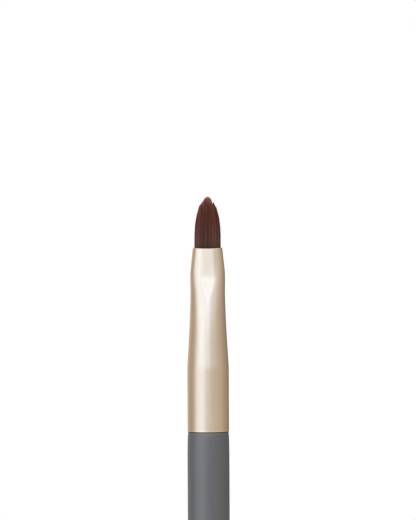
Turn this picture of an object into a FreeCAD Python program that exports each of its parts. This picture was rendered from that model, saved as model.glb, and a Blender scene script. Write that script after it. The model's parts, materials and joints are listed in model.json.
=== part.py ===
"""A lip brush, lying at rest on its handle with its tip towards +Y and a broad face up.

A turned, lacquered wooden handle is glued by its tenon into a thin drawn ferrule. The
ferrule runs from a round barrel through a cone to an oval mouth with two pressed flats. It
holds a tuft of filaments, which share a bound root and are backed by a plug of resin.

Each piece is built upright about one long axis: Z is zero at the ferrule's base edge and
rises to the tip, X runs across the broad faces and Y runs through them. The four pieces
are then laid down together, balanced on the belly of the handle. Sizes are millimetres.
"""
import FreeCAD
import Part
import math
import os
import random

# Ferrule: one drawn tube, round at its base, with two flats pressed in towards its mouth
ferrule_length = 30.67
ferrule_wall = 0.2
barrel_diameter = 6.9
barrel_length = 10.2
shoulder_length = 1.1      # height over which the barrel bends into the cone
cone_slope = 0.0605        # radius lost for each millimetre of height
press_start = 15.2         # where pressing begins to turn the round cone oval
neck_height = 23.1         # where the narrow sides run almost straight
neck_width = 5.75
neck_side_slope = 0.014
crease_height = 25.47      # where the flats begin, with a ramp up to them below it
crease_depth = 4.14        # of the oval, before its flats
crease_depth_slope = 0.14
lip_start = 27.2           # from here the narrow sides lean in evenly to the mouth
mouth_width = 4.9
mouth_side_slope = 0.1065
mouth_depth = 3.34         # of the oval, before its flats
mouth_depth_slope = 0.055
flat_depth_at_crease = 3.76  # from flat to flat
flat_depth_at_mouth = 3.26
ramp_slope = 0.205         # of the ramps below the crease
crease_round = 10.0        # radius of the hollow between each ramp and its flat
broad_arc_angle = 30.0     # degrees that an oval's broad arc turns from its middle to its end
mouth_dip = 0.14           # how far pressing has drawn down the middle of the mouth's edge
mouth_edge_round = 0.06
base_edge_round = 0.08

# Handle: turned wood, read from the ferrule's base edge down to the butt
handle_length = 118.0
shoulder_step = 0.08       # the shoulder's edge is this much inside the barrel
shoulder_round = 0.1
swell_slope = 0.16         # at which the handle leaves its shoulder
swell_lead = 0.5           # how far it keeps that slope
belly_swell = 0.05         # the belly stands this far outside the barrel
belly_drop = 5.5           # from the ferrule down to the widest place
belly_span_count = 8
butt_radius = 2.3
tenon_length = 9.5
tenon_chamfer = 0.5
glue_gap = 0.05            # between the tenon and the ferrule's bore

# Tuft: filaments packed side by side, standing in a bound root
tuft_length = 8.73         # from the mouth to the tip
tuft_tip_power = 3.7       # how late the outline turns in towards the tip
filaments_across = 15      # in the widest row
filament_gap = 0.02        # between the flats of neighbours
filament_taper = 0.6       # share of the thickness left where the pointed end begins
filament_unevenness = 0.1  # how far the ends stray from the outline
straight_share = 0.6       # share of the tuft's height below which the outside leans in
lean_fade = 0.12           # share of that height over which the lean then dies away
root_length = 8.2          # of bound root, measured back from the mouth
root_recess = 0.8          # the filaments part from the root this far inside the mouth
bore_clearance = 0.03      # between the bore and what fills it

# Resin plug: poured in behind the root
resin_length = 3.5
resin_meniscus = 0.4

# Densities, in grams for each cubic millimetre, which set how the brush lies
wood_density = 0.0006
metal_density = 0.0027
filament_density = 0.0011
resin_density = 0.0011

barrel_radius = barrel_diameter / 2
belly_radius = barrel_radius + belly_swell
ORIGIN = FreeCAD.Vector(0, 0, 0)
ALONG = FreeCAD.Vector(0, 0, 1)


def at(across, through, height):
    """A point of the upright frame."""
    return FreeCAD.Vector(across, through, height)


def guide(height, start, end):
    """Radius at a height on the smooth curve between two (height, radius, slope) ends."""
    low, low_radius, low_slope = start
    high, high_radius, high_slope = end
    span = high - low
    t = (height - low) / span
    return (
        low_radius * (1 + 2 * t) * (1 - t) ** 2
        + low_slope * span * t * (1 - t) ** 2
        + high_radius * t * t * (3 - 2 * t)
        + high_slope * span * t * t * (t - 1)
    )


def cone_start():
    """Height, radius and slope where the barrel's bend hands over to the cone."""
    return (
        barrel_length + shoulder_length,
        barrel_radius - cone_slope * shoulder_length / 2,
        -cone_slope,
    )


def pressed_start():
    """Height, radius and slope of the round cone where pressing begins."""
    low, radius, slope = cone_start()
    return press_start, radius + slope * (press_start - low), slope


def half_width_at(height):
    """Half width of the pressed part: one curve to the neck, one to the lips, then straight."""
    if height >= lip_start:
        return mouth_width / 2 + mouth_side_slope * (ferrule_length - height)
    neck = (neck_height, neck_width / 2, -neck_side_slope)
    if height <= neck_height:
        return guide(height, pressed_start(), neck)
    lip_half_width = mouth_width / 2 + mouth_side_slope * (ferrule_length - lip_start)
    return guide(height, neck, (lip_start, lip_half_width, -mouth_side_slope))


def half_depth_at(height):
    """Half depth of the pressed part before its flats: one curve to the crease, one beyond."""
    crease = (crease_height, crease_depth / 2, -crease_depth_slope)
    if height <= crease_height:
        return guide(height, pressed_start(), crease)
    return guide(height, crease, (ferrule_length, mouth_depth / 2, -mouth_depth_slope))


def half_sizes(height):
    """Half width and half depth of the ferrule's outside at a height, before its flats."""
    if height > press_start:
        return half_width_at(height), half_depth_at(height)
    low, radius, slope = cone_start()
    if height >= low:
        radius = radius + slope * (height - low)
    else:
        bend = max(height - barrel_length, 0.0)
        radius = barrel_radius - cone_slope * bend ** 2 / (2 * shoulder_length)
    return radius, radius


def oval_arcs(half_width, half_depth):
    """Radii of an oval's broad arcs and of the arcs at its narrow sides."""
    turn = math.radians(broad_arc_angle)
    spread = (half_width - half_depth) / (math.cos(turn) + math.sin(turn) - 1)
    return half_depth + spread * math.cos(turn), half_width - spread * math.sin(turn)


def oval(half_width, half_depth, height):
    """A closed wire of four tangent arcs, two broad and two at the narrow sides."""
    turn = math.radians(broad_arc_angle)
    broad_radius, _ = oval_arcs(half_width, half_depth)
    x = broad_radius * math.sin(turn)
    y = half_depth - broad_radius * (1 - math.cos(turn))
    corners = [(-x, y), (x, y), (x, -y), (-x, -y)]
    middles = [(0, half_depth), (half_width, 0), (0, -half_depth), (-half_width, 0)]
    arcs = []
    for i in range(4):
        ends = [at(*corners[i], height), at(*corners[(i + 1) % 4], height)]
        arcs.append(Part.Arc(ends[0], at(*middles[i], height), ends[1]).toShape())
    return Part.Wire(arcs)


def oval_column(inset, low, high, steps):
    """The ferrule's form between two heights, taken in by an inset, as one loft."""
    wires = []
    for i in range(steps + 1):
        height = low + (high - low) * i / steps
        half_width, half_depth = half_sizes(height)
        wires.append(oval(half_width - inset, half_depth - inset, height))
    return Part.makeLoft(wires, True)


def turned(runs, curves):
    """A solid of revolution about the long axis from straight runs and given curves."""
    edges = []
    for start, end in runs:
        edges.append(Part.makeLine(at(start[0], 0, start[1]), at(end[0], 0, end[1])))
    wire = Part.Wire(Part.__sortEdges__(edges + curves))
    return Part.Face(wire).revolve(ORIGIN, ALONG, 360)


def round_column(inset):
    """The round barrel, its bend and the cone up to where pressing starts, less an inset."""
    low, radius, _ = cone_start()
    side = barrel_radius - inset
    neck = radius - inset
    top = half_sizes(press_start)[0] - inset
    bend = Part.BezierCurve()
    bend.setPoles([
        at(side, 0, barrel_length),
        at(side, 0, (barrel_length + low) / 2),
        at(neck, 0, low),
    ])
    runs = [
        ((0, 0), (side, 0)),
        ((side, 0), (side, barrel_length)),
        ((neck, low), (top, press_start)),
        ((top, press_start), (0, press_start)),
        ((0, press_start), (0, 0)),
    ]
    return turned(runs, [bend.toShape()])


def press_slope(height):
    """Slope of the flats above the crease, or of the ramps below it."""
    if height < crease_height:
        return ramp_slope
    return (flat_depth_at_crease - flat_depth_at_mouth) / 2 / (ferrule_length - crease_height)


def press_half_depth(height):
    """Half the depth left between the flats, or between the ramps, at a height."""
    return flat_depth_at_crease / 2 - press_slope(height) * (height - crease_height)


def press_die(inset):
    """The space outside one flat and its ramp, less an inset, with a hollow between them."""
    ramp_lean = math.atan(ramp_slope)
    flat_lean = math.atan(press_slope(crease_height))
    corner = at(0, press_half_depth(crease_height) - inset, crease_height)
    down_ramp = at(0, math.sin(ramp_lean), -math.cos(ramp_lean))
    up_flat = at(0, -math.sin(flat_lean), math.cos(flat_lean))
    half_turn = (ramp_lean - flat_lean) / 2
    reach = crease_round * math.tan(half_turn)
    sink = crease_round * (1 / math.cos(half_turn) - 1)
    hollow = corner + (down_ramp + up_flat).normalize() * sink
    foot = corner + down_ramp * ferrule_length
    top = corner + up_flat * ferrule_length
    back = at(0, ferrule_length, 0)
    edges = [
        Part.makeLine(foot, corner + down_ramp * reach),
        Part.Arc(corner + down_ramp * reach, hollow, corner + up_flat * reach).toShape(),
        Part.makeLine(corner + up_flat * reach, top),
        Part.makeLine(top, top + back),
        Part.makeLine(top + back, foot + back),
        Part.makeLine(foot + back, foot),
    ]
    face = Part.Face(Part.Wire(edges))
    face.translate(at(-barrel_diameter, 0, 0))
    return face.extrude(at(2 * barrel_diameter, 0, 0))


def ferrule_form(inset):
    """The whole ferrule as a solid column, taken in by an inset, before it is trimmed."""
    neck = oval_column(inset, press_start, neck_height, 4)
    lips = oval_column(inset, neck_height, ferrule_length, 6)
    column = round_column(inset).fuse([neck, lips])
    die = press_die(inset)
    return column.cut([die, die.mirror(ORIGIN, at(0, 1, 0))])


def slab(low, high):
    """All the space round the axis between two heights."""
    return Part.makeCylinder(barrel_diameter, high - low, at(0, 0, low), ALONG)


def gauge(across, through, half_width, half_depth):
    """How far out a place lies in an oval: 0 in its middle, 1 on its edge."""
    reach = math.hypot(across, through)
    if reach == 0:
        return 0.0
    x = abs(across) / reach
    y = abs(through) / reach
    broad_radius, side_radius = oval_arcs(half_width, half_depth)
    back = y * (broad_radius - half_depth)
    edge = math.sqrt(back ** 2 + broad_radius ** 2 - (broad_radius - half_depth) ** 2) - back
    if edge * x > broad_radius * math.sin(math.radians(broad_arc_angle)):
        out = x * (half_width - side_radius)
        edge = out + math.sqrt(out ** 2 + side_radius ** 2 - (half_width - side_radius) ** 2)
    return reach / edge


def outer_rim(tube, height, reach):
    """Edges of a tube's outer skin that lie within a reach of a height."""
    rim = []
    for edge in tube.Edges:
        box = edge.BoundBox
        middle = edge.valueAt((edge.FirstParameter + edge.LastParameter) / 2)
        half_width, half_depth = half_sizes(middle.z)
        half_wall = ferrule_wall / 2
        beyond_oval = gauge(middle.x, middle.y, half_width - half_wall, half_depth - half_wall) > 1
        beyond_flat = abs(middle.y) > press_half_depth(middle.z) - half_wall
        if box.ZMin > height - reach and box.ZMax < height + reach and (beyond_oval or beyond_flat):
            rim.append(edge)
    return rim


def make_ferrule():
    """The drawn tube with its dipped mouth and its eased edges."""
    tube = ferrule_form(0.0).cut(ferrule_form(ferrule_wall))
    reach = mouth_width / 2 + mouth_edge_round
    dip_radius = (reach ** 2 + mouth_dip ** 2) / (2 * mouth_dip)
    dip_centre = at(0, -barrel_diameter, ferrule_length - mouth_dip + dip_radius)
    tube = tube.cut(Part.makeCylinder(dip_radius, 2 * barrel_diameter, dip_centre, at(0, 1, 0)))
    tube = tube.makeFillet(mouth_edge_round, outer_rim(tube, ferrule_length, 2 * mouth_dip))
    return tube.makeFillet(base_edge_round, outer_rim(tube, 0.0, ferrule_wall))


def belly_arc_radius():
    """Radius of the long arc that is widest at the belly and runs smoothly into the butt."""
    run = handle_length - belly_drop
    return (run ** 2 + belly_radius ** 2 - 2 * butt_radius * run) / (
        2 * (belly_radius - butt_radius)
    )


def belly_spans(centre, radius, turn):
    """The belly's long arc as a chain of short smooth curves, from its widest place down."""
    step = turn / belly_span_count
    spans = []
    for i in range(belly_span_count):
        poles = []
        for angle, reach in (
            (i * step, radius),
            ((i + 0.5) * step, radius / math.cos(step / 2)),
            ((i + 1) * step, radius),
        ):
            poles.append(centre + at(math.cos(angle), 0, -math.sin(angle)) * reach)
        curve = Part.BezierCurve()
        curve.setPoles(poles)
        spans.append(curve.toShape())
    return spans


def make_handle():
    """The turned handle: tenon, shoulder, swell, long belly and round butt."""
    tenon = barrel_radius - ferrule_wall - glue_gap
    flat = barrel_radius - shoulder_step - shoulder_round
    lean = math.atan(swell_slope)
    round_centre = at(flat, 0, -shoulder_round)
    half_round = (math.pi / 2 + lean) / 2
    round_middle = round_centre + at(math.cos(half_round), 0, math.sin(half_round)) * shoulder_round
    swell_start = round_centre + at(math.cos(lean), 0, math.sin(lean)) * shoulder_round
    shoulder = Part.Arc(at(flat, 0, 0), round_middle, swell_start).toShape()
    swell = Part.BezierCurve()
    swell.setPoles([
        swell_start,
        swell_start + at(swell_slope, 0, -1) * swell_lead,
        at(belly_radius, 0, -belly_drop / 3),
        at(belly_radius, 0, -belly_drop),
    ])
    arc_radius = belly_arc_radius()
    arc_centre = at(belly_radius - arc_radius, 0, -belly_drop)
    butt_centre = at(0, 0, butt_radius - handle_length)
    toward = (butt_centre - arc_centre).normalize()
    join = arc_centre + toward * arc_radius
    turn = math.asin(-toward.z)
    half_butt = (math.pi / 2 + turn) / 2
    butt_middle = butt_centre + at(math.cos(half_butt), 0, -math.sin(half_butt)) * butt_radius
    butt = Part.Arc(join, butt_middle, at(0, 0, -handle_length)).toShape()
    runs = [
        ((0, -handle_length), (0, tenon_length)),
        ((0, tenon_length), (tenon - tenon_chamfer, tenon_length)),
        ((tenon - tenon_chamfer, tenon_length), (tenon, tenon_length - tenon_chamfer)),
        ((tenon, tenon_length - tenon_chamfer), (tenon, 0)),
        ((tenon, 0), (flat, 0)),
    ]
    belly = belly_spans(arc_centre, arc_radius, turn)
    return turned(runs, [shoulder, swell.toShape()] + belly + [butt])


def outline(height):
    """The tuft's width at a height above the mouth, as a share of its width there."""
    return 1 - (height / tuft_length) ** tuft_tip_power


def lean_in(height):
    """How far the filaments have drawn together at a height above the mouth."""
    bend = straight_share * tuft_length
    if height <= bend:
        return outline(max(height, 0.0))
    slope = -tuft_tip_power / tuft_length * straight_share ** (tuft_tip_power - 1)
    fade = lean_fade * tuft_length
    return outline(bend) + slope * fade * (1 - math.exp((bend - height) / fade))


def filament_end(share):
    """Height at which a filament that stands this far out meets the tuft's outline."""
    low = 0.0
    high = tuft_length
    for _ in range(40):
        middle = (low + high) / 2
        if share * lean_in(middle) < outline(middle):
            low = middle
        else:
            high = middle
    return low


def filament_places():
    """Where the filaments stand in the mouth: (across, through, share of the way out)."""
    half_width = mouth_width / 2 - ferrule_wall - bore_clearance
    half_depth = mouth_depth / 2 - ferrule_wall - bore_clearance
    pitch = 2 * half_width / filaments_across
    half_flat = press_half_depth(ferrule_length) - ferrule_wall - bore_clearance - pitch / 2
    row_step = pitch * math.sqrt(3) / 2
    rows = int(half_depth / row_step) + 1
    places = []
    for row in range(-rows, rows + 1):
        for column in range(-filaments_across, filaments_across + 1):
            across = (column + 0.5 * (row % 2)) * pitch
            through = row * row_step
            share = gauge(across, through, half_width - pitch / 2, half_depth - pitch / 2)
            share = max(share, abs(through) / half_flat)
            if share <= 1:
                places.append((across, through, share))
    return places, pitch


def make_filament(across, through, end, radius):
    """One six-sided filament that leans in with its neighbours and ends in a point."""
    foot = -root_recess - radius
    rings = []
    for share, thickness in ((0.0, 1.0), (0.45, 1.0), (0.7, 0.9), (0.86, filament_taper)):
        height = foot + (end - foot) * share
        drawn = lean_in(height)
        ring = []
        for k in range(6):
            turn = math.radians(30 + 60 * k)
            ring.append(at(
                (across + radius * thickness * math.cos(turn)) * drawn,
                (through + radius * thickness * math.sin(turn)) * drawn,
                ferrule_length + height,
            ))
        rings.append(ring)
    drawn = lean_in(end)
    tip = at(across * drawn, through * drawn, ferrule_length + end)
    outlines = [list(reversed(rings[0]))]
    for low, high in zip(rings, rings[1:]):
        for k in range(6):
            outlines.append([low[k], low[(k + 1) % 6], high[(k + 1) % 6], high[k]])
    for k in range(6):
        outlines.append([rings[-1][k], rings[-1][(k + 1) % 6], tip])
    faces = [Part.Face(Part.makePolygon(corners + corners[:1])) for corners in outlines]
    shell = Part.Shell(faces)
    shell.sewShape()
    return Part.Solid(shell)


def make_tuft():
    """The bound root and every filament, as one solid."""
    seed = random.Random(7)
    top = ferrule_length - root_recess
    bottom = ferrule_length - root_length
    fill = ferrule_form(ferrule_wall + bore_clearance)
    root = fill.common(slab(bottom, top))
    places, pitch = filament_places()
    radius = (pitch - filament_gap) / math.sqrt(3)
    filaments = []
    for across, through, share in places:
        end = filament_end(share) - filament_unevenness * seed.random()
        filaments.append(make_filament(across, through, end, radius))
    return root.fuse(filaments)


def make_resin():
    """The resin behind the root, with its edge drawn up the bore as it set."""
    top = ferrule_length - root_length
    bottom = top - resin_length
    plug = ferrule_form(ferrule_wall + bore_clearance).common(slab(bottom, top))
    ball_radius = (half_sizes(bottom)[0] ** 2 + resin_meniscus ** 2) / (2 * resin_meniscus)
    ball = Part.makeSphere(ball_radius, at(0, 0, bottom + resin_meniscus - ball_radius))
    return plug.cut(ball)


def laid_down(pieces):
    """The pieces turned from upright to rest on the handle's belly, tip towards +Y."""
    weight = 0.0
    moment = 0.0
    for shape, density in pieces.values():
        weight += shape.Volume * density
        moment += shape.Volume * density * shape.CenterOfGravity.z
    off_belly = -moment / weight - belly_drop
    tip_up = math.degrees(math.atan2(off_belly, belly_arc_radius() - belly_radius))
    lying = {}
    for name, (shape, _) in pieces.items():
        lying[name] = shape.copy()
        lying[name].rotate(ORIGIN, at(1, 0, 0), tip_up - 90)
    box = Part.makeCompound(list(lying.values())).optimalBoundingBox(False, False)
    for shape in lying.values():
        shape.translate(at(-box.Center.x, -box.Center.y, -box.ZMin))
    return lying


pieces = {
    "handle": (make_handle(), wood_density),
    "ferrule": (make_ferrule(), metal_density),
    "bristle_tuft": (make_tuft(), filament_density),
    "resin_plug": (make_resin(), resin_density),
}
os.makedirs("parts", exist_ok=True)
for name, shape in laid_down(pieces).items():
    shape.exportStep("parts/" + name + ".step")
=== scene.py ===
import json
import math

import bpy
import numpy as np
from mathutils import Matrix, Vector


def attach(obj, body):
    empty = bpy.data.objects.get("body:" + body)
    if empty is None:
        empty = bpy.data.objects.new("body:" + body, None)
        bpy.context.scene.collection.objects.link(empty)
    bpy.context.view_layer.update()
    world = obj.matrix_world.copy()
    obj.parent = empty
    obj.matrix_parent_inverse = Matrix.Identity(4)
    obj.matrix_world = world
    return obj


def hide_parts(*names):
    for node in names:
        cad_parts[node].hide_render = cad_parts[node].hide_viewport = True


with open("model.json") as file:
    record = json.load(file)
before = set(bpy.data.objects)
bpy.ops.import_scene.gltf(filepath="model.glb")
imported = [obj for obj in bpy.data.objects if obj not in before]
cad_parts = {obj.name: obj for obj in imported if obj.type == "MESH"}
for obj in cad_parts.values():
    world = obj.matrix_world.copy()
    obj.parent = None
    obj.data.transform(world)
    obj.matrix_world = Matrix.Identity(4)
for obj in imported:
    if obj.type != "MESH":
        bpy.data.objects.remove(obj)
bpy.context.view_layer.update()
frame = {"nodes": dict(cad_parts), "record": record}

MM = 0.001

# Ferrule
FERRULE_LENGTH = 30.67
WALL = 0.2
BARREL_RADIUS = 3.45
BARREL_LENGTH = 10.2
SHOULDER_LENGTH = 1.1
CONE_SLOPE = 0.0605
PRESS_START = 15.2
NECK = (23.1, 2.875, -0.014)        # height, half width and slope where the sides run straight
LIP_START = 27.2                    # from here the narrow sides lean in evenly to the mouth
LIP_SLOPE = 0.1065
CREASE = (25.47, 2.07, -0.14)       # height, half depth of the oval and its slope
MOUTH_HALF_SIZES = (2.45, 1.67)
MOUTH_DEPTH_SLOPE = 0.055
FLAT_HALF_DEPTHS = (1.84, 1.55)     # at the crease and at the mouth
RAMP_SLOPE = 0.22
CREASE_SOFTNESS = 0.06              # across the crease between the ramp and the flat
CORNER_SOFTNESS = 0.10              # along the flat's two edges
BROAD_ARC = math.radians(30)        # half the angle of the oval's broad arcs
MOUTH_DIP = 0.14                    # how far the middle of the mouth's edge is drawn down
BASE_ROUND = 0.08
MOUTH_ROUND = 0.1
BORE_ROUND = 0.05
PRESS_FADE = 1.6                    # height over which the mouth's dip fades down the sides
FERRULE_SIDES = 256
ROUND_POINTS = 7                    # on each small round of the mouth and of the base
RING_CROWDING = -0.3                # draws the points of a ring towards the narrow sides
RING_STEPS = (                      # from each height up, the step between rings
    (BASE_ROUND, 0.05), (0.6, 0.6), (BARREL_LENGTH - 0.1, 0.12), (12.2, 0.4),
    (PRESS_START, 0.25), (20.0, 0.1),
)
BORE_START = 0.3
BORE_STEP = 0.4
LEAST_SINE = 0.05                   # keeps the distance to a flat finite at the narrow sides

# Handle
HANDLE_LENGTH = 118.0
SHOULDER_STEP = 0.08
SHOULDER_ROUND = 0.1
SWELL_SLOPE = 0.16
SWELL_LEAD = 0.5
BELLY_RADIUS = 3.5
BELLY_DROP = 5.5
BUTT_RADIUS = 2.3
TENON_LENGTH = 9.5
TENON_RADIUS = 3.2
TENON_CHAMFER = 0.5
TENON_RELIEF = 0.04                 # small bevel between the shoulder and the tenon
TENON_START = 0.4                   # where the tenon's straight run begins
HANDLE_SIDES = 160
BUTT_POINTS, BELLY_POINTS, SWELL_POINTS, SHOULDER_POINTS, TENON_POINTS = 28, 110, 40, 10, 8

# Tuft
TUFT_LENGTH = 8.73
TIP_POWER = 4.0
STRAIGHT_SHARE = 0.6
LEAN_FADE = 0.12
TIP_TRIM = 8.62                     # the middle filaments end here, which rounds the tip
TRIM_SOFTNESS = 0.3
SIDE_LEAN = 0.05                    # how far the whole tip stands off to +x
ROOT_LENGTH = 8.2
ROOT_RECESS = 0.8
BORE_CLEARANCE = 0.03
FILAMENT_PITCH = 0.106
FILAMENT_RADIUS = 0.05
FILAMENT_SIDES = 5
FILAMENT_JITTER = 0.16              # share of the pitch
FILAMENT_SPREAD = (0.9, 1.08)       # least and most thickness, as a share of the radius
FILAMENT_STEPS = np.array([0.0, 0.25, 0.50, 0.70, 0.85, 0.96])   # share of the length
FILAMENT_WIDTHS = np.array([1.0, 1.0, 1.0, 1.0, 0.95, 0.75])     # share of the radius there
FOOT_SINK = 0.05                    # the filaments' feet stand this deep in the root
CLUMP_PITCH = 0.62
CLUMP_JITTER = 0.3
CLUMP_PULL = 0.22                   # share by which the tips draw to the middle of their clump
WAVE_HEIGHT = 0.02
WAVE_TURN = 0.7                     # radians of the slow wave in each millimetre
OUTLINE_LEVELS = 400                # heights at which the tuft's outline is looked up
SHORTEST = 0.5                      # length that a filament's rise is at least measured against
END_REACH = 0.10                    # the longest filaments end this far past the outline
END_LOSS = 0.16                     # the shortest end this much lower, by chance
CLUMP_LOSS = 0.05                   # and this much lower by their clump's chance
ROOT_RINGS = 30
ROOT_SIDES = 96
# Where the tip's outline strays: at a place across, by how much, over what width
LOCKS = (
    (-1.42, 0.26, 0.13), (-1.18, 0.08, 0.10), (-0.62, 0.06, 0.20), (0.40, 0.08, 0.16),
    (0.80, -0.34, 0.10), (1.02, 0.16, 0.08), (1.30, 0.16, 0.09), (1.52, 0.06, 0.08),
)

# Marks that the materials read
MOUTH_SHEEN = 0.16                  # how far down from its edge the mouth has a painted highlight
BASE_SHEEN = (0.15, 0.11)           # middle and reach of the painted highlight band at the base edge
CORNER_SHEEN = (0.06, 0.03)         # strength and reach of the painted highlight along the flats' edges
CORNER_START = 20.5                 # height from which the flats have edges
# Reach of the painted shade on the ferrule's base edge, where it meets the handle
BASE_SHADE = 0.05
PRESSED_DEPTH = 0.1                 # the metal's tone is fully the flat's from this depth
PRESSED_RISE = 0.5                  # and this far past the crease
SHOULDER_SHEEN = (0.27, 0.1)         # depth below the joint and reach of the painted highlight band on the shoulder
BUTT_WEAR = (0.5, 1.2)              # strength and reach of the wear on the butt
SHOULDER_SHADE = (0.14, 0.04)       # depth below the joint and reach of the painted shade there

# Stage
PAPER_HALF = 2.0                    # metres
BOX_AIM = Vector((0.0, 0.06, 0.0036))
LENS = 256.7                        # millimetres, as is the sensor's width
SENSOR = 36.0
EYE_ALONG = 28.6                    # millimetres from the ferrule's base edge
EYE_ACROSS = 0.00007                # metres, as is the height above the brush's axis
EYE_HEIGHT = 0.618
EYE_TURN = math.radians(-0.26)
# What the paper returns, by metres across: painted light along the brush's lit side, and painted
# shadow in the brush's shade on the other
PAPER_PAINTED_LIGHT = (
    (-0.0300, (0.60, 0.49, 0.41)), (-0.0105, (0.60, 0.49, 0.41)), (-0.0075, (0.90, 0.84, 0.78)),
    (-0.0040, (1.00, 1.00, 1.00)), (0.0040, (0.28, 0.23, 0.20)), (0.0075, (0.52, 0.44, 0.38)),
    (0.0300, (0.53, 0.45, 0.38)),
)

# The mount on the barrel tells where the brush lies
barrel = frame["record"]["mounts"][0]
ALONG = np.array(barrel["axis"])
UP = np.array([0.0, -ALONG[2], ALONG[1]])
BASE = np.array(barrel["pos_m"]) / MM - ALONG * (BASE_ROUND + barrel["dims"]["length_mm"] / 2)


def lay(points):
    """Points of the brush's frame, in millimetres, as metres in the row frame."""
    x, y, z = points[..., 0:1], points[..., 1:2], points[..., 2:3]
    return (BASE + x * np.array([1.0, 0.0, 0.0]) + y * ALONG + z * UP) * MM


def build(name, points, faces, body="root"):
    """A smooth-shaded mesh object from points of the brush's frame and face index arrays."""
    mesh = bpy.data.meshes.new(name)
    corners = np.concatenate([f.reshape(-1) for f in faces]).astype(np.int32)
    counts = np.concatenate([np.full(len(f), f.shape[1]) for f in faces]).astype(np.int32)
    mesh.vertices.add(len(points))
    mesh.vertices.foreach_set("co", lay(points).astype(np.float32).reshape(-1))
    mesh.loops.add(len(corners))
    mesh.loops.foreach_set("vertex_index", corners)
    mesh.polygons.add(len(counts))
    starts = np.concatenate([[0], np.cumsum(counts)[:-1]]).astype(np.int32)
    mesh.polygons.foreach_set("loop_start", starts)
    mesh.polygons.foreach_set("use_smooth", np.ones(len(counts), bool))
    mesh.update(calc_edges=True)
    mesh.validate()
    piece = bpy.data.objects.new(name, mesh)
    bpy.context.scene.collection.objects.link(piece)
    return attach(piece, body)


def carry(piece, name, values):
    """Keeps one number at each of a piece's points, for its material to read."""
    attribute = piece.data.attributes.new(name, "FLOAT", "POINT")
    attribute.data.foreach_set("value", values.astype(np.float32).reshape(-1))


def wall_faces(rows, columns, closed=False):
    """Quads between neighbouring rings of a tube; a closed tube's last ring meets its first."""
    i = np.arange(rows if closed else rows - 1)[:, None]
    j = np.arange(columns)[None, :]
    low, high = i * columns, ((i + 1) % rows) * columns
    turn = (j + 1) % columns
    return np.stack([low + j, high + j, high + turn, low + turn], -1).reshape(-1, 4)


def pole_faces(pole, ring_start, columns, opens_up):
    """Triangles from a pole to its ring, facing outwards at the foot or the head of a form."""
    j = np.arange(columns)
    turn = (j + 1) % columns
    a, b = (ring_start + j, ring_start + turn) if opens_up else (ring_start + turn, ring_start + j)
    return np.stack([np.full(columns, pole), a, b], -1)


def guide(height, low, high):
    """Cubic Hermite curve between two (height, radius, slope) ends."""
    span = high[0] - low[0]
    t = (height - low[0]) / span
    return (
        low[1] * (1 + 2 * t) * (1 - t) ** 2 + low[2] * span * t * (1 - t) ** 2
        + high[1] * t * t * (3 - 2 * t) + high[2] * span * t * t * (t - 1)
    )


def half_sizes(height):
    """Half width and half depth of the ferrule before its flats: barrel, parabolic bend and
    straight cone, then Hermite curves. The width has one to the neck, one to the lips and a
    straight run to the mouth; the depth has one to the crease and one to the mouth."""
    bent = CONE_SLOPE * np.clip(height - BARREL_LENGTH, 0, SHOULDER_LENGTH) ** 2
    low = BARREL_LENGTH + SHOULDER_LENGTH
    cone = BARREL_RADIUS - bent / (2 * SHOULDER_LENGTH) - CONE_SLOPE * np.maximum(height - low, 0)
    start = BARREL_RADIUS - CONE_SLOPE * SHOULDER_LENGTH / 2 - CONE_SLOPE * (PRESS_START - low)
    pressed = (PRESS_START, start, -CONE_SLOPE)
    lip_width = MOUTH_HALF_SIZES[0] + LIP_SLOPE * (FERRULE_LENGTH - height)
    lip = (LIP_START, MOUTH_HALF_SIZES[0] + LIP_SLOPE * (FERRULE_LENGTH - LIP_START), -LIP_SLOPE)
    width = np.select(
        [height <= PRESS_START, height <= NECK[0], height <= LIP_START],
        [cone, guide(height, pressed, NECK), guide(height, NECK, lip)], lip_width,
    )
    mouth = (FERRULE_LENGTH, MOUTH_HALF_SIZES[1], -MOUTH_DEPTH_SLOPE)
    depth = np.select(
        [height <= PRESS_START, height <= CREASE[0]],
        [cone, guide(height, pressed, CREASE)], guide(height, CREASE, mouth),
    )
    return width, depth


def press_depth(height):
    """Half depth between the ramps or the flats: the greater of two lines, with a soft crease."""
    up = height - CREASE[0]
    slope = (FLAT_HALF_DEPTHS[0] - FLAT_HALF_DEPTHS[1]) / (FERRULE_LENGTH - CREASE[0])
    ramp, flat = -RAMP_SLOPE * up, -slope * up
    greater = (ramp + flat) / 2 + np.sqrt((ramp - flat) ** 2 / 4 + CREASE_SOFTNESS ** 2)
    return FLAT_HALF_DEPTHS[0] + greater


def flat_radius(height, turn, inset):
    """Distance from the middle to the ramps or the flats, in a direction, taken in by an inset."""
    return (press_depth(height) - inset) / np.maximum(np.abs(np.sin(turn)), LEAST_SINE)


def oval_radius(turn, half_width, half_depth):
    """Distance from the middle to a four-arc oval, in a direction given as an angle from +x."""
    apart = (half_width - half_depth) / (math.cos(BROAD_ARC) + math.sin(BROAD_ARC) - 1)
    broad = half_depth + apart * math.cos(BROAD_ARC)
    side = half_width - apart * math.sin(BROAD_ARC)
    x, y = np.abs(np.cos(turn)), np.abs(np.sin(turn))
    back = y * (broad - half_depth)
    on_broad = np.sqrt(back ** 2 + broad ** 2 - (broad - half_depth) ** 2) - back
    out = x * (half_width - side)
    on_side = out + np.sqrt(np.maximum(out ** 2 + side ** 2 - (half_width - side) ** 2, 0))
    return np.where(on_broad * x > broad * math.sin(BROAD_ARC), on_side, on_broad)


def soft_lesser(a, b, softness):
    """The lesser of two lengths, eased where they are nearly equal."""
    near = np.maximum(softness - np.abs(a - b), 0) / softness
    return np.minimum(a, b) - near ** 2 * softness / 4


def ferrule_radius(height, turn, inset):
    """Radius of the pressed tube at a height and angle, taken in by an inset."""
    half_width, half_depth = half_sizes(height)
    oval = oval_radius(turn, half_width - inset, half_depth - inset)
    return soft_lesser(oval, flat_radius(height, turn, inset), CORNER_SOFTNESS)


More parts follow.
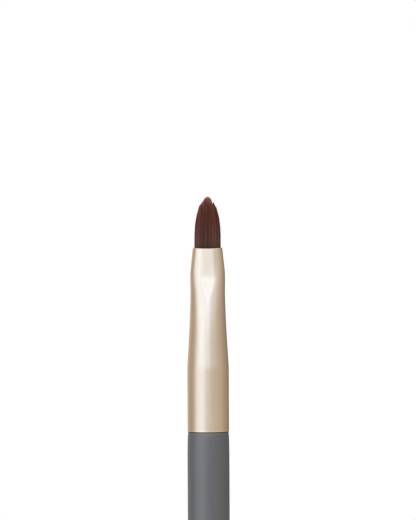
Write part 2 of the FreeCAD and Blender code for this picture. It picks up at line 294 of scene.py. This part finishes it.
def ring_angles(count, crowding):
    """Angles round the brush. A crowding below zero draws them towards its narrow sides."""
    even = 2 * np.pi * np.arange(count) / count
    return even + crowding * np.sin(2 * even) / 2


def spaced(low, high, step):
    """Even heights from low up to, but not at, high."""
    return np.linspace(low, high, max(int(round((high - low) / step)), 1), endpoint=False)


def make_ferrule():
    """Drawn tube. Its profile is a closed loop of (height, inset) pairs carried round the oval:
    up the outside, over the rolled mouth, down the bore and round the base edge. Near the
    mouth the heights sink by the dip, most at the middle of each broad face."""
    quarter = np.linspace(0, np.pi / 2, ROUND_POINTS)
    top = FERRULE_LENGTH
    stops = [low for low, _ in RING_STEPS[1:]] + [top - MOUTH_ROUND]
    outside = np.concatenate([
        spaced(low, high, step) for (low, step), high in zip(RING_STEPS, stops)
    ])
    rim_out = np.stack([
        top - MOUTH_ROUND * (1 - np.sin(quarter)), MOUTH_ROUND * (1 - np.cos(quarter))
    ])
    rim_in = np.stack([
        top - BORE_ROUND * (1 - np.cos(quarter)), WALL - BORE_ROUND * (1 - np.sin(quarter))
    ])
    bore = spaced(BORE_START, top - BORE_ROUND, BORE_STEP)[::-1]
    base_in = np.stack([
        BORE_ROUND * (1 - np.sin(quarter)), WALL - BORE_ROUND * (1 - np.cos(quarter))
    ])
    base_out = np.stack([BASE_ROUND * (1 - np.cos(quarter)), BASE_ROUND * (1 - np.sin(quarter))])
    profile = np.concatenate([
        np.stack([outside, np.zeros_like(outside)]), rim_out, rim_in,
        np.stack([bore, np.full_like(bore, WALL)]), base_in, base_out[:, :-1],
    ], axis=1)
    height = profile[0][:, None]
    inset = profile[1][:, None]
    turn = ring_angles(FERRULE_SIDES, RING_CROWDING)[None, :]
    half_width = MOUTH_HALF_SIZES[0]
    dip_radius = (half_width ** 2 + MOUTH_DIP ** 2) / (2 * MOUTH_DIP)
    across = ferrule_radius(height, turn, inset) * np.cos(turn)
    dip = MOUTH_DIP - dip_radius + np.sqrt(dip_radius ** 2 - across ** 2)
    share = np.clip((height - (top - PRESS_FADE)) / PRESS_FADE, 0, 1)
    sunk = height - dip * share ** 2
    radius = ferrule_radius(sunk, turn, inset)
    points = np.stack([radius * np.cos(turn), sunk + 0 * turn, radius * np.sin(turn)], -1)
    faces = [wall_faces(*points.shape[:2], closed=True)]
    piece = build("ferrule_shell", points.reshape(-1, 3), faces)
    outer = inset < WALL / 2
    # Painted highlights: at the mouth's edge, in a band at the base edge and along the flats' edges
    mouth = np.exp(-((sunk - top) / MOUTH_SHEEN) ** 2)
    base = np.exp(-((sunk - BASE_SHEEN[0]) / BASE_SHEEN[1]) ** 2)
    cut = oval_radius(turn, *half_sizes(sunk)) - flat_radius(sunk, turn, 0.0)
    corner = np.exp(-(cut / CORNER_SHEEN[1]) ** 2) * (sunk > CORNER_START)
    painted_sheen = mouth + base + CORNER_SHEEN[0] * corner
    carry(piece, "edge_sheen_and_wear", np.clip(painted_sheen, 0, 1) * outer)
    # Painted shade on the base edge, where the ferrule meets the handle
    carry(piece, "painted_joint_shade", np.exp(-(np.maximum(sunk, 0) / BASE_SHADE) ** 2) + 0 * turn)
    past_crease = np.clip((sunk - CREASE[0]) / PRESSED_RISE, 0, 1)
    carry(piece, "pressed", np.clip(cut / PRESSED_DEPTH, 0, 1) * past_crease)
    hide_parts("ferrule")
    return piece


def arc(centre, radius, start, end, count):
    """Points of an arc of a profile, as (radius, height), from one angle to another."""
    turn = np.linspace(start, end, count)
    return np.stack([centre[0] + radius * np.cos(turn), centre[1] + radius * np.sin(turn)], -1)


def make_handle():
    """Turned handle: a profile of (radius, height) carried round its axis. From the butt: a
    round end, one long arc that is widest at the belly, a cubic Bezier swell, the shoulder's
    rounded edge, then the tenon. Both poles are closed."""
    run = HANDLE_LENGTH - BELLY_DROP
    thinning = BELLY_RADIUS - BUTT_RADIUS
    arc_radius = (run ** 2 + BELLY_RADIUS ** 2 - 2 * BUTT_RADIUS * run) / (2 * thinning)
    arc_centre = (BELLY_RADIUS - arc_radius, -BELLY_DROP)
    butt_centre = (0.0, BUTT_RADIUS - HANDLE_LENGTH)
    lean = math.atan2(butt_centre[1] - arc_centre[1], butt_centre[0] - arc_centre[0])
    flat = BARREL_RADIUS - SHOULDER_STEP - SHOULDER_ROUND
    rise = math.atan(SWELL_SLOPE)
    edge_centre = (flat, -SHOULDER_ROUND)
    start = np.array([
        flat + SHOULDER_ROUND * math.cos(rise), SHOULDER_ROUND * (math.sin(rise) - 1)
    ])
    poles = [
        (BELLY_RADIUS, -BELLY_DROP), (BELLY_RADIUS, -BELLY_DROP / 3),
        start + np.array([SWELL_SLOPE, -1.0]) * SWELL_LEAD, start,
    ]
    t = np.linspace(0, 1, SWELL_POINTS)[1:-1, None]
    swell = sum(
        weight * np.array(pole) * t ** k * (1 - t) ** (3 - k)
        for k, (weight, pole) in enumerate(zip((1, 3, 3, 1), poles))
    )
    chamfer = TENON_RADIUS - TENON_CHAMFER
    straight = np.linspace(TENON_START, TENON_LENGTH - TENON_CHAMFER, TENON_POINTS)
    profile = np.concatenate([
        arc(butt_centre, BUTT_RADIUS, -np.pi / 2, lean, BUTT_POINTS)[1:],
        arc(arc_centre, arc_radius, lean, 0.0, BELLY_POINTS)[1:],
        swell,
        arc(edge_centre, SHOULDER_ROUND, rise, np.pi / 2, SHOULDER_POINTS),
        np.array([(TENON_RADIUS + TENON_RELIEF, 0.0), (TENON_RADIUS, TENON_RELIEF)]),
        np.stack([np.full(TENON_POINTS, TENON_RADIUS), straight], -1),
        np.array([(chamfer, TENON_LENGTH), (chamfer / 2, TENON_LENGTH)]),
    ])
    turn = (2 * np.pi * np.arange(HANDLE_SIDES) / HANDLE_SIDES)[None, :]
    radius, height = profile[:, 0:1], profile[:, 1:2]
    walls = np.stack([radius * np.cos(turn), height + 0 * turn, radius * np.sin(turn)], -1)
    rows, columns = walls.shape[:2]
    ends = np.array([(0, -HANDLE_LENGTH, 0), (0, TENON_LENGTH, 0)])
    points = np.concatenate([walls.reshape(-1, 3), ends])
    last = rows * columns
    faces = [
        wall_faces(rows, columns),
        pole_faces(last, 0, columns, True),
        pole_faces(last + 1, last - columns, columns, False),
    ]
    piece = build("handle_turned", points, faces)
    height = points[:, 1]
    # A painted highlight band on the shoulder's round, and wear on the butt
    shoulder = np.exp(-((height + SHOULDER_SHEEN[0]) / SHOULDER_SHEEN[1]) ** 2)
    butt = BUTT_WEAR[0] * np.exp(-(height + HANDLE_LENGTH) / BUTT_WEAR[1])
    carry(piece, "edge_sheen_and_wear", np.clip(shoulder + butt, 0, 1))
    # Painted shade at the top of the handle, in the joint under the ferrule
    depth, reach = SHOULDER_SHADE
    carry(piece, "painted_joint_shade", (1 + np.tanh((height + depth) / reach)) / 2)
    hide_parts("handle")
    return piece


def outline(height):
    """The tuft's width above the mouth as a share of its width there: 1 - (h / length)^power."""
    return 1 - (np.clip(height, 0, TUFT_LENGTH) / TUFT_LENGTH) ** TIP_POWER


def lean_in(height):
    """How far the filaments have drawn together: the outline, until the lean dies away."""
    bend = STRAIGHT_SHARE * TUFT_LENGTH
    fade = LEAN_FADE * TUFT_LENGTH
    slope = -TIP_POWER / TUFT_LENGTH * STRAIGHT_SHARE ** (TIP_POWER - 1)
    beyond = np.maximum(height - bend, 0)
    return outline(np.minimum(height, bend)) + slope * fade * (1 - np.exp(-beyond / fade))


def mouth_share(x, z):
    """How far out a place lies in the filled mouth: 0 in its middle, 1 on its edge."""
    turn = np.arctan2(z, x)
    edge = ferrule_radius(np.full_like(x, FERRULE_LENGTH), turn, WALL + BORE_CLEARANCE)
    return np.hypot(x, z) / (edge - FILAMENT_RADIUS)


def packed(pitch, jitter, seed):
    """Places in the mouth on a triangular lattice, each moved a little by chance."""
    rows = int(MOUTH_HALF_SIZES[0] / pitch) + 2
    column, row = np.meshgrid(np.arange(-rows, rows + 1), np.arange(-rows, rows + 1))
    x = (column + 0.5 * (row % 2)) * pitch
    z = row * pitch * math.sqrt(3) / 2
    places = np.stack([x, z], -1).reshape(-1, 2)
    places = places + seed.uniform(-jitter, jitter, places.shape) * pitch
    share = mouth_share(places[:, 0], places[:, 1])
    return places[share <= 1], share[share <= 1]


def at_points(values):
    """Values at each filament's rings and tip, repeated for the points of each ring."""
    rings = np.repeat(values[:, :-1], FILAMENT_SIDES, 1)
    return np.concatenate([rings, values[:, -1:]], 1).reshape(-1)


def make_tuft():
    """Filaments and their bound root. Each filament is a thin tube of six rings and a tip along
    its own line: its place in the mouth times the lean, drawn towards the middle of its clump
    as it rises, with a slow wave. It ends near where it meets the tuft's outline."""
    seed = np.random.default_rng(11)
    places, share = packed(FILAMENT_PITCH, FILAMENT_JITTER, seed)
    middles, _ = packed(CLUMP_PITCH, CLUMP_JITTER, seed)
    gaps = np.hypot(*(places[:, None, :] - middles[None, :, :]).transpose(2, 0, 1))
    clump = gaps.argmin(1)
    levels = np.linspace(0, TUFT_LENGTH, OUTLINE_LEVELS)
    meets = outline(levels) / np.maximum(lean_in(levels), 1e-6)
    end = np.interp(-share, -meets, levels)
    count = len(places)
    drawn = places[:, 0] * lean_in(end)
    for across, by, reach in LOCKS:
        end = end + by * np.exp(-((drawn - across) / reach) ** 2)
    end = soft_lesser(end, TIP_TRIM, TRIM_SOFTNESS)
    end = end + END_REACH - END_LOSS * seed.random(count) ** 2
    end = end - CLUMP_LOSS * seed.random(len(middles))[clump]
    foot = -ROOT_RECESS - FOOT_SINK
    height = foot + (end[:, None] - foot) * np.append(FILAMENT_STEPS, 1.0)[None, :]
    rise = np.clip(height, 0, None) / np.maximum(end[:, None], SHORTEST)
    pull = CLUMP_PULL * rise[..., None] ** 3
    phase = seed.uniform(0, 6.28, (count, 1, 2))
    wave = WAVE_HEIGHT * np.sin(height[..., None] * WAVE_TURN + phase) * rise[..., None]
    line = places[:, None, :] * (1 - pull) + middles[clump][:, None, :] * pull
    line = line * lean_in(height)[..., None] + wave
    line[..., 0] += SIDE_LEAN * (np.clip(height, 0, None) / TUFT_LENGTH) ** 2
    turn = 2 * np.pi * np.arange(FILAMENT_SIDES) / FILAMENT_SIDES
    thick = FILAMENT_RADIUS * FILAMENT_WIDTHS[None, :] * seed.uniform(*FILAMENT_SPREAD, (count, 1))
    rings = np.stack([
        line[:, :-1, None, 0] + thick[..., None] * np.cos(turn),
        FERRULE_LENGTH + height[:, :-1, None] + 0 * turn,
        line[:, :-1, None, 1] + thick[..., None] * np.sin(turn),
    ], -1)
    tips = np.stack([line[:, -1, 0], FERRULE_LENGTH + height[:, -1], line[:, -1, 1]], -1)
    per = len(FILAMENT_STEPS) * FILAMENT_SIDES + 1
    points = np.concatenate([rings.reshape(count, -1, 3), tips[:, None, :]], 1).reshape(-1, 3)
    offset = (np.arange(count) * per)[:, None, None]
    walls = (offset + wall_faces(len(FILAMENT_STEPS), FILAMENT_SIDES)[None]).reshape(-1, 4)
    heads = pole_faces(per - 1, per - 1 - FILAMENT_SIDES, FILAMENT_SIDES, False)
    heads = (offset + heads[None]).reshape(-1, 3)
    feet = (offset + np.arange(FILAMENT_SIDES)[None, None, :]).reshape(-1, FILAMENT_SIDES)
    root, root_faces = root_form(len(points))
    faces = [walls, heads, feet] + root_faces
    piece = build("bristle_filaments", np.concatenate([points, root]), faces)
    marks = {
        "rise": at_points(np.clip(height / TUFT_LENGTH, 0, 1)),
        "tip_share": at_points(rise),
        "filament_tone": np.repeat(seed.random(count), per),
        "clump_tone": np.repeat(seed.random(len(middles))[clump], per),
    }
    for name, values in marks.items():
        carry(piece, name, np.concatenate([values, np.zeros(len(root))]))
    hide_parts("bristle_tuft")
    return piece


def root_form(first):
    """The bound root: the bore's own form between two heights, closed by a pole at each end."""
    low, high = FERRULE_LENGTH - ROOT_LENGTH, FERRULE_LENGTH - ROOT_RECESS
    height = np.linspace(low, high, ROOT_RINGS)[:, None]
    turn = ring_angles(ROOT_SIDES, RING_CROWDING)[None, :]
    radius = ferrule_radius(height, turn, WALL + BORE_CLEARANCE)
    walls = np.stack([radius * np.cos(turn), height + 0 * turn, radius * np.sin(turn)], -1)
    points = np.concatenate([walls.reshape(-1, 3), np.array([(0, low, 0), (0, high, 0)])])
    last = walls.shape[0] * walls.shape[1]
    faces = [
        first + wall_faces(*walls.shape[:2]),
        first + pole_faces(last, 0, walls.shape[1], True),
        first + pole_faces(last + 1, last - walls.shape[1], walls.shape[1], False),
    ]
    return points, faces


# Materials

def group(name, inputs, outputs):
    """An empty shader node group with named number or colour sockets."""
    tree = bpy.data.node_groups.new(name, "ShaderNodeTree")
    for label, kind, value in inputs:
        socket = tree.interface.new_socket(name=label, in_out="INPUT", socket_type=kind)
        socket.default_value = value
    for label, kind in outputs:
        tree.interface.new_socket(name=label, in_out="OUTPUT", socket_type=kind)
    return tree, tree.nodes.new("NodeGroupInput"), tree.nodes.new("NodeGroupOutput")


def node(tree, kind, **settings):
    """A node with its settings; values for sockets are given as a dictionary, put."""
    made = tree.nodes.new(kind)
    put = settings.pop("put", {})
    for key, value in settings.items():
        setattr(made, key, value)
    for key, value in put.items():
        made.inputs[key].default_value = value
    return made


def sums(tree, operation, first, second, clamp=False):
    """One arithmetic step between two sockets or numbers."""
    made = node(tree, "ShaderNodeMath", operation=operation, use_clamp=clamp)
    for socket, value in zip(made.inputs, (first, second)):
        if isinstance(value, (int, float)):
            socket.default_value = value
        else:
            tree.links.new(value, socket)
    return made.outputs[0]


def streaks_group():
    """Fine streaks: noise on object coordinates, stretched by its own scale on each axis."""
    tree, given, result = group(
        "fine_streaks",
        [("Across", "NodeSocketFloat", 9000.0), ("Along", "NodeSocketFloat", 90.0),
         ("Detail", "NodeSocketFloat", 3.0)],
        [("Streak", "NodeSocketFloat")],
    )
    place = node(tree, "ShaderNodeTexCoord")
    scale = node(tree, "ShaderNodeCombineXYZ")
    stretched = node(tree, "ShaderNodeVectorMath", operation="MULTIPLY")
    noise = node(tree, "ShaderNodeTexNoise", put={"Scale": 1.0, "Roughness": 0.55})
    link = tree.links.new
    link(given.outputs["Across"], scale.inputs["X"])
    link(given.outputs["Along"], scale.inputs["Y"])
    link(given.outputs["Across"], scale.inputs["Z"])
    link(place.outputs["Object"], stretched.inputs[0])
    link(scale.outputs[0], stretched.inputs[1])
    link(stretched.outputs[0], noise.inputs["Vector"])
    link(given.outputs["Detail"], noise.inputs["Detail"])
    link(noise.outputs["Fac"], result.inputs["Streak"])
    return tree


def sheen_and_smudge_group():
    """A mask for painted highlights on edges, with wear on the handle's butt, broken up by noise;
    and faint cloudy smudges.
    """
    tree, given, result = group(
        "edge_sheen_and_smudges",
        [("Edge wear", "NodeSocketFloat", 0.5), ("Smudge scale", "NodeSocketFloat", 260.0)],
        [("Sheen and wear", "NodeSocketFloat"), ("Smudge", "NodeSocketFloat")],
    )
    place = node(tree, "ShaderNodeTexCoord")
    edge = node(tree, "ShaderNodeAttribute", attribute_name="edge_sheen_and_wear")
    nicks = node(tree, "ShaderNodeTexNoise", put={"Scale": 2600.0, "Detail": 3.0})
    cloud = node(tree, "ShaderNodeTexNoise", put={"Detail": 4.0, "Roughness": 0.6})
    link = tree.links.new
    link(place.outputs["Object"], nicks.inputs["Vector"])
    link(place.outputs["Object"], cloud.inputs["Vector"])
    link(given.outputs["Smudge scale"], cloud.inputs["Scale"])
    broken = sums(tree, "MULTIPLY_ADD", nicks.outputs["Fac"], 0.9)
    broken.node.inputs[2].default_value = 0.5
    sheen_and_wear = sums(tree, "MULTIPLY", edge.outputs["Fac"], broken)
    sheen_and_wear = sums(tree, "MULTIPLY", sheen_and_wear, given.outputs["Edge wear"], clamp=True)
    link(sheen_and_wear, result.inputs["Sheen and wear"])
    link(cloud.outputs["Fac"], result.inputs["Smudge"])
    return tree


def finish_of(name):
    """A fresh material, its tree and its principled shader."""
    material = bpy.data.materials.new(name)
    material.use_nodes = True
    tree = material.node_tree
    return material, tree, tree.nodes["Principled BSDF"]


def use(tree, shared, **values):
    """One placing of a shared group, with its own values."""
    made = node(tree, "ShaderNodeGroup")
    made.node_tree = shared
    for key, value in values.items():
        made.inputs[key.replace("_", " ")].default_value = value
    return made


def spread(tree, value, low, high, from_low=0.3, from_high=0.7):
    """A value between two bounds turned into a range of its own."""
    made = node(tree, "ShaderNodeMapRange", put={
        "From Min": from_low, "From Max": from_high, "To Min": low, "To Max": high})
    tree.links.new(value, made.inputs["Value"])
    return made.outputs["Result"]


def blended(tree, share, first, second):
    """Two colours mixed by the share in a socket; a colour is a tuple or a socket."""
    made = node(tree, "ShaderNodeMix", data_type="RGBA")
    for key, value in ((0, share), (6, first), (7, second)):
        if isinstance(value, tuple):
            made.inputs[key].default_value = (*value, 1.0)
        else:
            tree.links.new(value, made.inputs[key])
    return made.outputs[2]


def relief(tree, height, shader, distance):
    """A bump of a given depth in metres, feeding the shader's normal."""
    bump = node(tree, "ShaderNodeBump", put={"Distance": distance, "Strength": 1.0})
    tree.links.new(height, bump.inputs["Height"])
    tree.links.new(bump.outputs["Normal"], shader.inputs["Normal"])


def champagne_metal(streaks, sheen_and_smudges):
    """Satin anodised aluminium: lengthwise drawing lines, soft smudges, painted highlights on the
    edges, painted shade at the base edge, and flats a little yellower."""
    material, tree, shader = finish_of("champagne_metal")
    lines = use(tree, streaks, Across=5200.0, Along=130.0, Detail=4.0)
    hoops = use(tree, streaks, Across=60.0, Along=7000.0, Detail=2.0)
    marks = use(tree, sheen_and_smudges, Edge_wear=0.8, Smudge_scale=300.0)
    smudge = spread(tree, marks.outputs["Smudge"], 0.0, 1.0)
    tint = blended(tree, smudge, (0.84, 0.735, 0.605), (0.87, 0.765, 0.635))
    pressed = node(tree, "ShaderNodeAttribute", attribute_name="pressed").outputs["Fac"]
    tint = blended(tree, pressed, tint, (0.860, 0.735, 0.588))
    # Painted highlights on the mouth's edge, the base edge and the flats' edges
    tint = blended(tree, marks.outputs["Sheen and wear"], tint, (1.0, 0.93, 0.84))
    # Painted shade on the base edge, where it meets the handle
    painted_shade = node(tree, "ShaderNodeAttribute", attribute_name="painted_joint_shade").outputs["Fac"]
    tint = blended(tree, painted_shade, tint, (0.10, 0.09, 0.08))
    tree.links.new(tint, shader.inputs["Base Color"])
    shader.inputs["Specular Tint"].default_value = (0.95, 0.80, 0.66, 1.0)
    rough = spread(tree, lines.outputs["Streak"], 0.30, 0.37)
    rough = sums(tree, "ADD", rough, spread(tree, marks.outputs["Smudge"], -0.02, 0.03))
    tree.links.new(rough, shader.inputs["Roughness"])
    shader.inputs["Metallic"].default_value = 1.0
    across = sums(tree, "MULTIPLY", hoops.outputs["Streak"], 0.5)
    height = sums(tree, "ADD", lines.outputs["Streak"], across)
    relief(tree, height, shader, 0.0000012)
    return material


def grey_lacquer(streaks, sheen_and_smudges):
    """Satin grey lacquer on turned wood: the grain shows faintly through an even coat."""
    material, tree, shader = finish_of("grey_lacquer")
    grain = use(tree, streaks, Across=2400.0, Along=45.0, Detail=5.0)
    marks = use(tree, sheen_and_smudges, Edge_wear=0.5, Smudge_scale=180.0)
    figure = spread(tree, grain.outputs["Streak"], 0.0, 1.0)
    tint = blended(tree, figure, (0.077, 0.119, 0.160), (0.086, 0.131, 0.175))
    # Painted highlight band on the shoulder, and wear on the butt
    tint = blended(tree, marks.outputs["Sheen and wear"], tint, (0.21, 0.22, 0.235))
    # Painted shade in the joint under the ferrule
    painted_shade = node(tree, "ShaderNodeAttribute", attribute_name="painted_joint_shade").outputs["Fac"]
    tint = blended(tree, painted_shade, tint, (0.016, 0.016, 0.015))
    tree.links.new(tint, shader.inputs["Base Color"])
    rough = spread(tree, marks.outputs["Smudge"], 0.33, 0.39)
    tree.links.new(rough, shader.inputs["Roughness"])
    shader.inputs["IOR"].default_value = 1.7
    shader.inputs["Specular IOR Level"].default_value = 1.0
    shader.inputs["Specular Tint"].default_value = (1.0, 0.80, 0.64, 1.0)
    raised = sums(tree, "MULTIPLY", grain.outputs["Streak"], 0.6)
    height = sums(tree, "ADD", raised, marks.outputs["Smudge"])
    relief(tree, height, shader, 0.000006)
    return material


def filament_fibre(streaks):
    """Dark brown fibre: every filament and clump has its own tone. Painted light lightens the feet
    at the mouth, and the ends run redder and paler towards the tip, the paler partly painted light."""
    material, tree, shader = finish_of("filament_fibre")
    tone = node(tree, "ShaderNodeAttribute", attribute_name="filament_tone").outputs["Fac"]
    clump = node(tree, "ShaderNodeAttribute", attribute_name="clump_tone").outputs["Fac"]
    rise = node(tree, "ShaderNodeAttribute", attribute_name="rise").outputs["Fac"]
    ends = node(tree, "ShaderNodeAttribute", attribute_name="tip_share").outputs["Fac"]
    flecks = use(tree, streaks, Across=14000.0, Along=500.0, Detail=2.0)
    own = sums(tree, "ADD", sums(tree, "MULTIPLY", tone, 0.5), sums(tree, "MULTIPLY", clump, 0.5))
    # The feet are painted lighter than the body, against the shade of the mouth's wall
    foot = blended(tree, own, (0.062, 0.023, 0.014), (0.255, 0.119, 0.086))
    body = blended(tree, own, (0.050, 0.009, 0.004), (0.240, 0.071, 0.048))
    tip = blended(tree, own, (0.520, 0.140, 0.105), (0.980, 0.430, 0.350))
    tint = blended(tree, spread(tree, rise, 0.0, 1.0, 0.15, 0.50), foot, body)
    # Painted light just above the mouth
    tint = blended(tree, spread(tree, rise, 0.8, 0.0, 0.005, 0.045), tint, (0.34, 0.19, 0.14))
    # Tips redder and paler; part of the paleness is painted light
    high = sums(tree, "POWER", spread(tree, rise, 0.0, 1.0, 0.70, 0.965), 2.7)
    tint = blended(tree, high, tint, tip)
    tint = blended(tree, spread(tree, ends, 0.0, 0.25, 0.92, 1.0), tint, tip)
    fleck = spread(tree, flecks.outputs["Streak"], 0.0, 0.2)
    tint = blended(tree, fleck, tint, (0.20, 0.09, 0.065))
    tree.links.new(tint, shader.inputs["Base Color"])
    rough = spread(tree, tone, 0.42, 0.58, 0.0, 1.0)
    tree.links.new(rough, shader.inputs["Roughness"])
    shader.inputs["Specular IOR Level"].default_value = 0.25
    relief(tree, flecks.outputs["Streak"], shader, 0.000002)
    return material


def amber_resin(sheen_and_smudges):
    """Cured amber resin, a little cloudy, behind the root."""
    material, tree, shader = finish_of("amber_resin")
    marks = use(tree, sheen_and_smudges, Edge_wear=0.0, Smudge_scale=900.0)
    cloud = spread(tree, marks.outputs["Smudge"], 0.0, 1.0)
    tint = blended(tree, cloud, (0.46, 0.27, 0.07), (0.62, 0.42, 0.15))
    tree.links.new(tint, shader.inputs["Base Color"])
    tree.links.new(spread(tree, marks.outputs["Smudge"], 0.12, 0.25), shader.inputs["Roughness"])
    relief(tree, marks.outputs["Smudge"], shader, 0.00001)
    return material


def pale_ground(name, seen, painted_tones):
    """A plain pale surface: even white to the camera, and to the light it returns, painted light
    and shadow given as (metres across, colour) pairs."""
    material, tree, shader = finish_of(name)
    path = node(tree, "ShaderNodeLightPath")
    glow = node(tree, "ShaderNodeEmission", put={"Color": (*seen, 1.0), "Strength": 1.0})
    mix = node(tree, "ShaderNodeMixShader")
    place = node(tree, "ShaderNodeTexCoord")
    parts = node(tree, "ShaderNodeSeparateXYZ")
    ramp = node(tree, "ShaderNodeValToRGB")
    first, last = painted_tones[0][0], painted_tones[-1][0]
    for k, (across, colour) in enumerate([painted_tones[0], painted_tones[-1], *painted_tones[1:-1]]):
        share = (across - first) / (last - first)
        stop = ramp.color_ramp.elements[k] if k < 2 else ramp.color_ramp.elements.new(share)
        stop.position = share
        stop.color = (*colour, 1.0)
    tree.links.new(place.outputs["Object"], parts.inputs[0])
    tree.links.new(spread(tree, parts.outputs["X"], 0.0, 1.0, first, last), ramp.inputs["Fac"])
    tree.links.new(ramp.outputs["Color"], shader.inputs["Base Color"])
    shader.inputs["Roughness"].default_value = 1.0
    shader.inputs["Specular IOR Level"].default_value = 0.0
    tree.links.new(path.outputs["Is Camera Ray"], mix.inputs[0])
    tree.links.new(shader.outputs[0], mix.inputs[1])
    tree.links.new(glow.outputs[0], mix.inputs[2])
    tree.links.new(mix.outputs[0], tree.nodes["Material Output"].inputs["Surface"])
    return material


# Stage: floor, soft light and camera

def make_floor():
    """A plain pale floor that the brush lies on, with painted light and shadow in the light it
    returns.
    """
    corners = [(x * PAPER_HALF, y * PAPER_HALF, 0) for x, y in ((-1, -1), (1, -1), (1, 1), (-1, 1))]
    mesh = bpy.data.meshes.new("floor")
    mesh.from_pydata(corners, [], [(0, 1, 2, 3)])
    floor = bpy.data.objects.new("floor", mesh)
    bpy.context.scene.collection.objects.link(floor)
    mesh.materials.append(pale_ground("floor_paper", (1.0, 1.0, 1.0), PAPER_PAINTED_LIGHT))


def soft_light(name, left, tipward, spans, power, colour):
    """A soft box a metre from the ferrule and aimed at it. Its middle lies so many degrees to the
    left of straight above and so many towards the tip, and its sides span so many degrees;
    power is in watts for each square metre of it."""
    lamp = bpy.data.lights.new(name, "AREA")
    lamp.shape = "RECTANGLE"
    lamp.size, lamp.size_y = (2 * math.tan(math.radians(span / 2)) for span in spans)
    lamp.energy = power * lamp.size * lamp.size_y
    lamp.color = colour
    left, tipward = math.radians(left), math.radians(tipward)
    level = math.cos(tipward)
    toward = Vector((-math.sin(left) * level, math.sin(tipward), math.cos(left) * level))
    lit = bpy.data.objects.new(name, lamp)
    side = Vector((0.0, 1.0, 0.0)).cross(toward).normalized()
    length = toward.cross(side)
    place = BOX_AIM + toward
    lit.matrix_world = Matrix((
        (side.x, length.x, toward.x, place.x),
        (side.y, length.y, toward.y, place.y),
        (side.z, length.z, toward.z, place.z),
        (0, 0, 0, 1),
    ))
    lit.visible_camera = False
    bpy.context.scene.collection.objects.link(lit)


def make_air(lit, seen):
    """Even light from all round, which the camera sees as plain white."""
    world = bpy.data.worlds.new("studio")
    bpy.context.scene.world = world
    world.use_nodes = True
    tree = world.node_tree
    even = tree.nodes["Background"]
    even.inputs["Color"].default_value = (*lit, 1.0)
    even.inputs["Strength"].default_value = 1.0
    white = node(tree, "ShaderNodeBackground", put={"Color": (*seen, 1.0), "Strength": 1.0})
    path = node(tree, "ShaderNodeLightPath")
    mix = node(tree, "ShaderNodeMixShader")
    tree.links.new(path.outputs["Is Camera Ray"], mix.inputs[0])
    tree.links.new(even.outputs[0], mix.inputs[1])
    tree.links.new(white.outputs[0], mix.inputs[2])
    tree.links.new(mix.outputs[0], tree.nodes["World Output"].inputs["Surface"])


def make_camera():
    """A long lens straight above, turned by a hair so that the brush leans as it was shot."""
    lens = bpy.data.cameras.new("camera")
    lens.lens = LENS
    lens.sensor_width = SENSOR
    eye = bpy.data.objects.new("camera", lens)
    middle = (BASE + EYE_ALONG * ALONG) * MM
    eye.location = (EYE_ACROSS, middle[1], middle[2] + EYE_HEIGHT)
    eye.rotation_euler = (0.0, 0.0, EYE_TURN)
    bpy.context.scene.collection.objects.link(eye)
    bpy.context.scene.camera = eye


streaks = streaks_group()
sheen_and_smudges = sheen_and_smudge_group()
make_ferrule().data.materials.append(champagne_metal(streaks, sheen_and_smudges))
make_handle().data.materials.append(grey_lacquer(streaks, sheen_and_smudges))
make_tuft().data.materials.append(filament_fibre(streaks))
resin = frame["nodes"]["resin_plug"]
resin.data.materials.clear()
resin.data.materials.append(amber_resin(sheen_and_smudges))
make_floor()
soft_light("left_box", 47.0, -13.5, (58.3, 61.0), 1.65, (0.81, 1.0, 1.22))
soft_light("top_box", -18.5, 23.5, (65.1, 23.0), 2.50, (0.77, 1.0, 1.38))
soft_light("tipward_box", 22.0, 13.0, (70.2, 24.0), 1.85, (0.76, 1.0, 1.39))
make_air((0.556, 0.483, 0.389), (1.0, 1.0, 1.0))
make_camera()
bpy.context.scene.view_settings.view_transform = "Standard"
